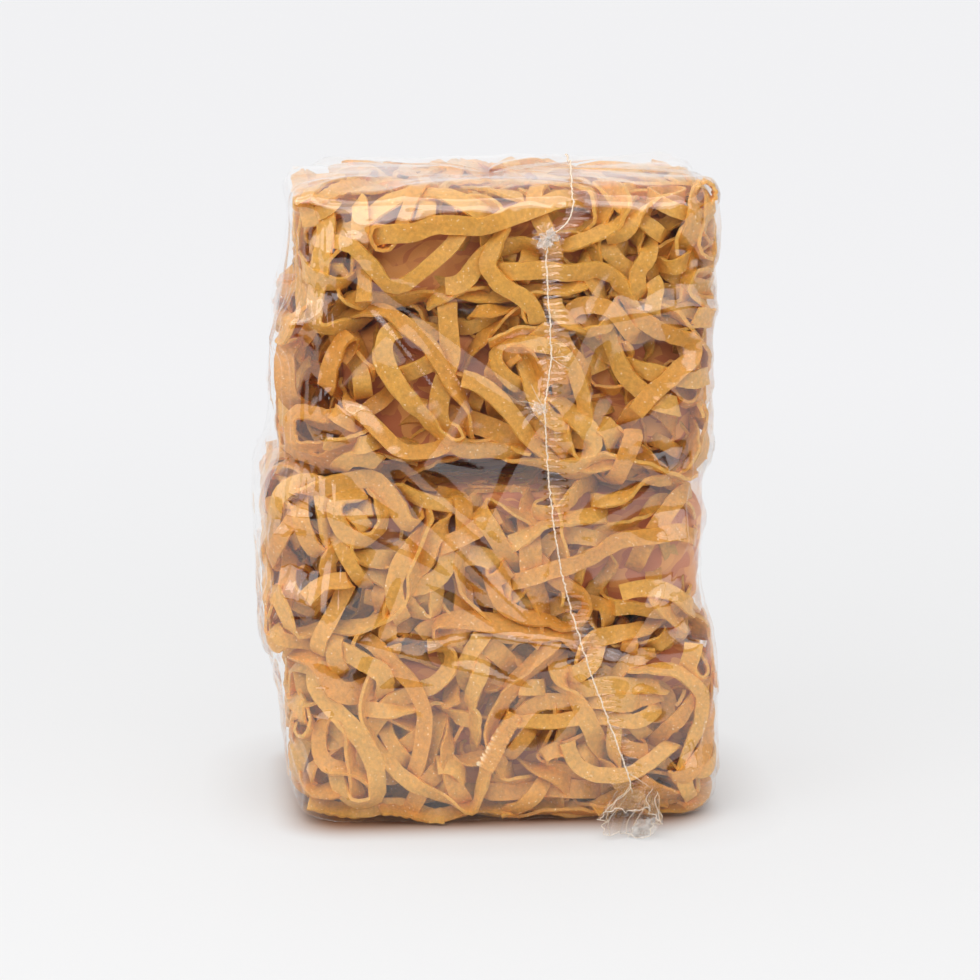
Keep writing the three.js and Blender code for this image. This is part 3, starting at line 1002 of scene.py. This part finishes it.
# clear film: it mirrors by the angle of view, a share and the rest times a power, with fine wrinkles
def filmMaterial(name, gathered):
    look = filmLook
    material, tree = newMaterial(name)
    where = objectPlace(tree)
    wrinkles = noise(tree, where, *look["wrinkles"])["Fac"]
    inputs = {"Strength": look["wrinkleBump"], "Distance": look["wrinkleHeight"], "Height": wrinkles}
    normal = addNode(tree, "Bump", inputs).outputs["Normal"]
    if gathered:
        normal = gatheredNormal(tree, where, normal)
    facing = addNode(tree, "LayerWeight", {"Blend": 0.5, "Normal": normal}).outputs["Facing"]
    steep = calculate(tree, "POWER", facing, look["steep"])
    share = calculate(tree, "MULTIPLY_ADD", steep, look["grazing"] - look["shine"], look["shine"])
    clear = addNode(tree, "BsdfTransparent", {"Color": look["clear"]})
    mirror = {"Color": (1, 1, 1, 1), "Roughness": look["roughness"], "Normal": normal}
    gloss = addNode(tree, "BsdfGlossy", mirror)
    finishMaterial(tree, mixShaders(tree, share, clear, gloss))
    return material


# the run of the seam beside points of the film, and how far they are to the right of it: down the front
# the run goes by height, over the top by depth; points elsewhere are far off
def seamPlaces(points):
    ahead = pack["middle"][1] - points[..., 1]
    high = pack["height"] - seam["edge"]
    onTop = points[..., 2] > high
    run = np.where(onTop, ahead, seam["frontRun"] + high - points[..., 2])
    off = points[..., 0] - pack["middle"][0] - np.interp(run, *seamTable())
    return run, np.where((ahead > seam["frontFrom"]) | onTop, off, seam["farOff"])


# the film's mesh: its faces beside the seam have the gathered film's material
def makeFilm(stretched, plain, gathered):
    u, v, lift = stretched
    base, way = filmForm(np.broadcast_to(u, lift.shape), np.broadcast_to(v[:, None], lift.shape))
    shape = base + lift[..., None] * way
    shape[..., 2] = np.maximum(shape[..., 2], film["lowest"])
    points, *faces = closeRings(shape)
    run, off = seamPlaces(points)
    piece = putMesh("clearFilm", points, faces, plain, seamRun=run, seamOff=np.clip(off, -20, 20))
    piece.data.materials.append(gathered)
    beside = np.concatenate([np.abs(off[f]).min(-1) < filmLook["gatherReach"] for f in faces])
    piece.data.polygons.foreach_set("material_index", beside.astype(np.int32))
    return piece


# seam

seam = dict(
    # how far right of the middle it lies at runs that go forwards over the top and then down the front
    line=(
        (-33, 23.0), (-9.5, 21.6), (17.4, 19.1), (34, 17.6), (40, 17.8), (43, 16.8), (45, 15.1), (47.4, 11.6),
        (53.3, 11.0), (67.6, 12.0), (77.5, 12.3), (89.4, 10.6), (105, 11.6), (117.6, 12.9), (131.5, 15.2),
        (143, 18.2), (156.5, 22.3), (169, 26.9), (183.4, 32.0), (188, 33.2),
    ),
    edge=6.0,  # radius that it turns over the front of the top with
    frontRun=40.42,  # run where the front begins
    thick=0.25,
    thinnest=0.08,
    stand=0.12,  # how far its middle stands off the film
    jitter=0.2,
    beads=1.0,  # pitch of its beads
    beadShape=(0.5, 0.65, 0.12),  # half its thickness between beads, more at a bead, and at random
    pitch=0.22,
    # white threads along creases in the film, painted highlights of the folds: points as run and right of the
    # middle
    creaseHighlights=(
        ((89.4, 10.6), (88, 7.0), (87.6, 3.6)), ((89.4, 10.6), (86, 8.6), (83.4, 7.4)),
        ((77, 12.3), (76.6, 15.0), (76.4, 18.0)), ((77, 12.4), (78.4, 14.4), (79.4, 16.6)),
        ((183, 32.5), (185.5, 36.0), (188.5, 39.5)),
    ),
    creaseThick=(0.11, 0.03),
    creaseStand=0.08,
    creaseSteps=40,
    frontFrom=20.0,  # depth in front of the pack's middle where the front of the film begins
    farOff=99.0,  # how far off places behind that count as
    # the seam's own cream white, which the crease threads share as painted highlights
    whiteness=0.66,
    colour=(0.95, 0.81, 0.64, 1),
    seed=3,
)


# the seam's runs and places to the right, with its corners rounded off by a moving mean
def seamTable():
    run, right = np.array(seam["line"]).T
    runs = np.arange(run[0], run[-1] + 0.01, seam["pitch"])
    reach = 8
    kernel = np.hanning(2 * reach + 1)
    rights = np.pad(np.interp(runs, run, right), reach, "edge")
    return runs, np.convolve(rights, kernel / kernel.sum(), "valid")


# run and rise on the film for the seam's runs and places to the right of the pack's middle
def seamGuess(run, right):
    x, y = pack["middle"]
    flat = seam["frontRun"] - seam["edge"] * math.pi / 2
    turn = np.clip((run - flat) / seam["edge"], 0, math.pi / 2)
    high = pack["height"] - seam["edge"]
    back = y - np.minimum(run, flat) - seam["edge"] * np.sin(turn)
    height = high + seam["edge"] * np.cos(turn) - np.maximum(run - seam["frontRun"], 0)
    return filmPlaces(np.stack([x + right, back, height], -1))[:2]


# points on the film there, and the way out
def onFilm(stretched, run, right):
    return filmAt(stretched, *seamGuess(run, right))


# a round thread along points: rings of eight about the way along it, closed at both ends
def thread(points, half, sides=8):
    along = unit(np.gradient(points, axis=0))
    side = unit(np.cross(along, (0.2, -0.9, 0.4)))
    up = np.cross(side, along)
    turn = np.linspace(0, 2 * math.pi, sides, False)[None, :, None]
    ring = np.cos(turn) * side[:, None] + np.sin(turn) * up[:, None]
    rings, quads, triangles = closeRings(points[:, None] + half[:, None, None] * ring)
    return rings, quads[:, ::-1], triangles[:, [1, 0, 2]]


# film that lies in folds: clear and white mixed, whiter where it is gathered closer; on the crease threads
# the white is painted highlight
def bunchedMaterial(name, look):
    material, tree = newMaterial(name)
    clear = addNode(tree, "BsdfTransparent", {"Color": (1, 0.99, 0.98, 1)})
    white = addNode(tree, "BsdfPrincipled", {"Base Color": look["colour"], "Roughness": 0.25})
    finishMaterial(tree, mixShaders(tree, look["whiteness"], clear, white))
    return material


# the seam's beaded edge, a thread that is thicker by a wave of straight slopes, and white threads along the
# # creases beside it and in the tail, which are painted highlights of the folds
def makeSeam(stretched, material):
    s = seam
    rng = np.random.default_rng(s["seed"])
    runs, rights = seamTable()
    jitter = np.convolve(rng.normal(size=len(runs) + 8), np.hanning(9) / 4, "valid")
    points, way = onFilm(stretched, runs, rights + s["jitter"] * jitter)
    thin, bead, uneven = s["beadShape"]
    wide = s["thick"] * (thin + bead * slopes(runs / s["beads"] + s["jitter"] * jitter) + uneven * jitter)
    parts = [thread(points + s["stand"] * way, np.maximum(wide, s["thinnest"]))]
    for crease in s["creaseHighlights"]:
        line = resample(np.array(crease, float)[None], s["creaseSteps"])[0]
        points, way = onFilm(stretched, line[:, 0], line[:, 1])
        half = np.linspace(*s["creaseThick"], s["creaseSteps"])
        parts.append(thread(points + s["creaseStand"] * way, half))
    for crease in tailCreaseHighlights(stretched):
        parts.append(thread(crease, np.full(len(crease), tail["creaseThick"])))
    return putParts("filmSeamAndCreaseHighlights", parts, material)


crumples = dict(
    # on the seam: run, right of the middle, how far it stands off, size, folds and their height
    onSeam=((47.6, 11.4, 0.4, 2.9, 7, 1.5), (48.6, 10.6, 0.9, 1.9, 5, 1.2), (46.6, 12.2, 0.7, 1.7, 6, 1.0),
            (89.4, 9.4, 0.2, 2.0, 9, 0.7)),
    # in the tail: share of its length, turn about it, size, folds and their height
    inTail=((0.72, 4.3, 3.0, 9, 0.5), (0.9, 4.6, 2.6, 7, 0.5), (0.88, 3.9, 2.4, 8, 0.4)),
    rows=12,
    around=84,
    pole=0.04,  # share of the size where the rings end
    skin=0.05,  # half the film's thickness there
    lowest=0.2,  # over the floor
    whiteness=0.2,
    colour=(0.97, 0.94, 0.9, 1),
    seed=3,
)


# a crumpled disc of film, out along one skin and back along the other: its rim is uneven by waves of the
# angle, and it stands in folds, a wave of straight slopes round it times the distance from its middle
def crumpled(rng, middle, size, folds, height):
    s = crumples
    share = np.linspace(s["pole"], 1, s["rows"])
    share = np.concatenate([share, np.linspace(1, s["pole"], s["rows"])])[:, None]
    skin = np.repeat([s["skin"], -s["skin"]], s["rows"])[:, None]
    turn = np.linspace(0, 2 * math.pi, s["around"], False)[None]
    a, b, c, d = rng.random(4) * 6
    waves = 0.16 * np.sin(2 * turn + a) + 0.14 * np.sin(5 * turn + b) + 0.06 * np.sin(13 * turn + c)
    rim = size * (0.8 + waves)
    around = turn / (2 * math.pi)
    fold = slopes(folds * around + 0.25 * np.sin(5 * share + c)) - 0.65
    fold = fold + 0.3 * slopes((folds + 4) * around + d)
    out = height * share * fold + 0.3 * np.sin(7 * share + a) + skin
    rings = np.broadcast_arrays(rim * share * np.cos(turn), -out, rim * share * np.sin(turn))
    points, quads, triangles = closeRings(np.stack(rings, -1))
    points = middle + points
    points[:, 2] = np.maximum(points[:, 2], s["lowest"])
    return points, quads, triangles


# the crumpled film at the knot and the star in the seam, and in the tail
def makeCrumples(stretched, material):
    rng = np.random.default_rng(crumples["seed"])
    parts = []
    for run, right, off, size, folds, height in crumples["onSeam"]:
        point, way = onFilm(stretched, np.array([run]), np.array([right]))
        parts.append(crumpled(rng, point + (off + height * 0.4) * way, size, folds, height))
    for share, turn, size, folds, height in crumples["inTail"]:
        point = tailAt(stretched, np.array([share]), np.array([turn]))
        parts.append(crumpled(rng, point, size, folds, height))
    return putParts("filmCrumples", parts, material)


tail = dict(
    run=187.5,
    right=34.6,
    neck=(4.8, 1.3),  # half its width and height
    mouth=(6.8, 4.3),
    length=15.0,
    lean=16.0,  # degrees down
    aside=-0.26,
    pleats=5,
    pleatDepth=0.2,
    skin=0.2,
    lowest=0.3,  # over the floor
    rows=26,
    around=160,
    creaseHighlights=9,
    creaseSteps=30,
    rimSteps=120,
    creaseThick=0.09,
)


# the tail's skin at shares t of its length and turns about it: a pleated horn that leans to the floor
def tailAt(stretched, t, turn, skin=0.0):
    s = tail
    root = onFilm(stretched, np.array([s["run"]]), np.array([s["right"]]))[0]
    lean = math.radians(s["lean"])
    along = unit(np.array([s["aside"], -math.cos(lean), -math.sin(lean)]))
    side = unit(np.cross(along, (0, 0, 1)))
    up = np.cross(side, along)
    opened = np.clip(t, 0, 1) ** 0.7
    pleat = np.abs(np.sin(s["pleats"] * turn / 2 + 0.5 * np.sin(turn * 2 + 1))) ** 0.6 - 0.6
    fine = 0.3 * np.sin(13 * turn + 5 * t) + 0.2 * np.sin(23 * turn - 3 * t)
    ruffle = 1 + s["pleatDepth"] * (2 * pleat + fine) * opened
    wide, high = ((n + (m - n) * opened) * ruffle - skin for n, m in zip(s["neck"], s["mouth"]))
    length = s["length"] * (t + 0.16 * opened * np.sin(2 * turn + 0.7) * np.sin(3 * turn))
    points = root + length[..., None] * along + (wide * np.cos(turn))[..., None] * side
    points = points + (high * np.sin(turn))[..., None] * up
    points[..., 2] = np.maximum(points[..., 2], s["lowest"] - skin)
    return points


# the folds of the tail, drawn as white threads that are painted highlights: along its pleats, and round its
# mouth
def tailCreaseHighlights(stretched):
    s = tail
    t = np.linspace(0.05, 0.98, s["creaseSteps"])
    turns = np.linspace(0, 2 * math.pi, s["creaseHighlights"], False)
    turns = turns + 0.35 * np.sin(np.arange(s["creaseHighlights"]) * 2.3)
    pleats = [tailAt(stretched, t, a + 0.2 * np.sin(4 * t + a)) for a in turns]
    around = np.linspace(0, 2 * math.pi, s["rimSteps"])
    return pleats + [tailAt(stretched, np.full(s["rimSteps"], 0.99), around)]


# the gathered end of the film, out along its outer skin and back along its inner one
def makeTail(stretched, material):
    s = tail
    t = np.concatenate([np.linspace(-0.15, 1, s["rows"]), np.linspace(1, -0.1, s["rows"])])[:, None]
    skin = np.repeat([0.0, s["skin"]], s["rows"])[:, None]
    turn = np.linspace(0, 2 * math.pi, s["around"], False)[None]
    points = tailAt(stretched, *np.broadcast_arrays(t, turn, skin))
    return putMesh("filmTail", points.reshape(-1, 3), [ringQuads(2 * s["rows"], s["around"])], material)


# camera and studio

view = dict(
    distance=850.0,  # from the front of the pack to the lens
    height=261.0,
    azimuth=-4.8,
    pitch=11.6,  # degrees down
    lens=129.3,
    sensor=36.0,
    target=(1.16, -31.85),
    shift=(-0.012, 0.0),
)


# the camera stands off the target by the distance, turned by the azimuth
def makeCamera():
    turn = math.radians(view["azimuth"])
    camera = bpy.data.objects.new("photoCamera", bpy.data.cameras.new("photoCamera"))
    bpy.context.scene.collection.objects.link(camera)
    x = view["target"][0] + view["distance"] * math.sin(turn)
    y = view["target"][1] - view["distance"] * math.cos(turn)
    camera.location = (x * mm, y * mm, view["height"] * mm)
    camera.rotation_euler = (math.radians(90 - view["pitch"]), 0, turn)
    camera.data.sensor_width = view["sensor"]
    camera.data.lens = view["lens"]
    camera.data.shift_x, camera.data.shift_y = view["shift"]
    camera.data.clip_start = 0.01
    camera.data.clip_end = 50.0
    bpy.context.scene.camera = camera


studio = dict(
    sky=(0.98, 1.1),  # strength at the height of the pack and overhead
    skyRise=(0.15, 0.75),  # heights of the direction between which it changes
    skyColour=(1, 1, 1.01, 1),
    front=0.12,  # share of the sky's light that is left in front, where the room is dark
    frontEdge=(-0.55, -0.4),
    right=0.5,  # share that is left to the far right
    rightEdge=(0.9, 0.1),
    # box lights in front, to the left, to the right and in the middle: strength, and the directions they
    # fill across and up
    boxes=(
        (1.8, (-0.95, -0.34), (0.0, 0.68)),
        (1.65, (0.38, 0.93), (0.02, 0.62)),
        (1.6, (-0.3, 0.34), (0.25, 0.6)),
    ),
    boxFront=(-1.1, -0.2),
    boxSoft=0.02,
    glow=(0.62, 1.26),  # share of the floor that shines by itself, painted light that lifts the pack's shadows, and how strongly
    glowEdge=(0.008, 0.036),  # metres from the pack's foot where it begins and where it is whole
    floor=(0.758, 0.758, 0.768, 1),
    floorNear=(0.722, 0.724, 0.727, 1),
    nearReach=(0.7, 0.15),  # metres from the pack between which the floor turns to its near colour
    # painted shade: the floor's colour in front, dark as if unlit
    floorPaintedDark=(0.05, 0.05, 0.05, 1),
    floorEnd=(-0.47, -0.42),  # where the floor in front turns to its painted dark, painted shade for the unlit room there, in metres
    floorHalf=9000.0,
    paintedFootShadow=(0.34, 0.18, 0.10, 1),  # painted warm shadow: the floor's colour right at the foot
    footReach=(0.0, 0.02),  # metres over which that fades
    footInset=(15.0, 9.0),  # millimetres inside the film's outline where it begins
    lamp=1.0,  # power of the soft light over the front
    lampPlace=(-0.09, -0.28, 0.44),
    lampSize=(0.5, 0.36),
    lampTo=(0.0, 0.0, 0.12),
)


# one for values between low and high, nothing outside them, with a soft step at both ends
def band(tree, value, low, high):
    soft = studio["boxSoft"]
    rise = mapRange(tree, value, (low - soft, low + soft), way="SMOOTHSTEP")
    fall = mapRange(tree, value, (high + soft, high - soft), way="SMOOTHSTEP")
    return calculate(tree, "MULTIPLY", rise, fall)


# the sky: brighter overhead by the direction's height, darker where the direction points to the front or
# the right, with box lights
def makeSky():
    s = studio
    world = bpy.data.worlds.new("studio")
    world.use_nodes = True
    tree = world.node_tree
    tree.nodes.clear()
    parts = addNode(tree, "SeparateXYZ", {0: addNode(tree, "TexCoord").outputs["Generated"]}).outputs
    strength = mapRange(tree, parts["Z"], s["skyRise"], s["sky"], "SMOOTHSTEP")
    ahead = mapRange(tree, parts["Y"], s["frontEdge"], (s["front"], 1.0), "SMOOTHSTEP")
    aside = mapRange(tree, parts["X"], s["rightEdge"], (s["right"], 1.0), "SMOOTHSTEP")
    for share in (ahead, aside):
        strength = calculate(tree, "MULTIPLY", strength, share)
    for power, across, up in s["boxes"]:
        flat = calculate(tree, "MULTIPLY", band(tree, parts["X"], *across), band(tree, parts["Z"], *up))
        box = calculate(tree, "MULTIPLY", flat, band(tree, parts["Y"], *s["boxFront"]))
        strength = addNode(tree, "Mix", {0: box, 2: strength, 3: power}, data_type="FLOAT").outputs[0]
    back = addNode(tree, "Background", {"Color": s["skyColour"], "Strength": strength})
    addNode(tree, "OutputWorld", {"Surface": back.outputs[0]})
    bpy.context.scene.world = world


# a pale floor that shines a little by itself away from the pack, which is painted light that lifts the pack's
# shadows, with a painted warm shadow at its foot
# # and painted dark in front: the distance from the foot is the length of how far a place is outside a box in
# it
def floorMaterial():
    s = studio
    material, tree = newMaterial("paleFloor")
    where = objectPlace(tree)
    close = mapRange(tree, calculateVector(tree, "LENGTH", where), s["nearReach"], way="SMOOTHSTEP")
    forward = addNode(tree, "SeparateXYZ", {0: where}).outputs["Y"]
    # the floor in front is painted dark, painted shade for the unlit room there
    fade = mapRange(tree, forward, s["floorEnd"], way="SMOOTHSTEP")
    colour = mixColour(tree, fade, s["floorPaintedDark"], mixColour(tree, close, s["floor"], s["floorNear"]))
    middle = tuple(mm * place for place in pack["middle"]) + (0,)
    foot = tuple(mm * (half - inset) for half, inset in zip(film["half"], s["footInset"])) + (0,)
    offset = calculateVector(tree, "ABSOLUTE", calculateVector(tree, "SUBTRACT", where, middle))
    outside = calculateVector(tree, "MAXIMUM", calculateVector(tree, "SUBTRACT", offset, foot), (0, 0, 0))
    away = calculateVector(tree, "LENGTH", outside)
    share, power = s["glow"]
    # painted light: the floor glows by itself, less near the foot, so the pack's broad shadow is lifted
    glowing = mapRange(tree, away, s["glowEdge"], (0.0, share))
    # painted warm shadow on the floor at the pack's foot, fading with the distance from it
    shaded = mixColour(tree, mapRange(tree, away, s["footReach"], way="SMOOTHSTEP"), s["paintedFootShadow"], colour)
    matte = addNode(tree, "BsdfDiffuse", {"Color": shaded})
    shining = addNode(tree, "Emission", {"Color": shaded, "Strength": power})
    finishMaterial(tree, mixShaders(tree, glowing, matte, shining))
    return material


# the sky, a square floor and a soft light that is turned to the pack
def makeStudio():
    s = studio
    scene = bpy.context.scene
    scene.view_settings.view_transform = "Standard"
    scene.view_settings.look = "None"
    makeSky()
    corners = s["floorHalf"] * np.array([[-1, -1, 0], [1, -1, 0], [1, 1, 0], [-1, 1, 0]])
    floor = putMesh("floor", corners, [np.array([[0, 1, 2, 3]])], floorMaterial())
    lamp = bpy.data.lights.new("softLight", "AREA")
    lamp.shape = "RECTANGLE"
    lamp.size, lamp.size_y = s["lampSize"]
    lamp.energy = s["lamp"]
    softLight = bpy.data.objects.new("softLight", lamp)
    softLight.location = s["lampPlace"]
    aim = np.subtract(s["lampTo"], s["lampPlace"])
    softLight.rotation_euler = (math.acos(-aim[2] / np.linalg.norm(aim)), 0, math.atan2(-aim[0], aim[1]))
    scene.collection.objects.link(softLight)
    print("studio set up")


makeCamera()
makeStudio()
noodlePoints = makeNoodles(noodleMaterial())
corePoints = makeCores(coreMaterial())
stretched = stretchFilm(np.concatenate([noodlePoints, corePoints]))
plainFilm = filmMaterial("clearFilm", False)
partOfPack(makeFilm(stretched, plainFilm, filmMaterial("gatheredFilm", True)))
partOfPack(makeSeam(stretched, bunchedMaterial("filmSeamAndCreaseHighlights", seam)))
partOfPack(makeCrumples(stretched, bunchedMaterial("filmCrumples", crumples)))
partOfPack(makeTail(stretched, plainFilm))
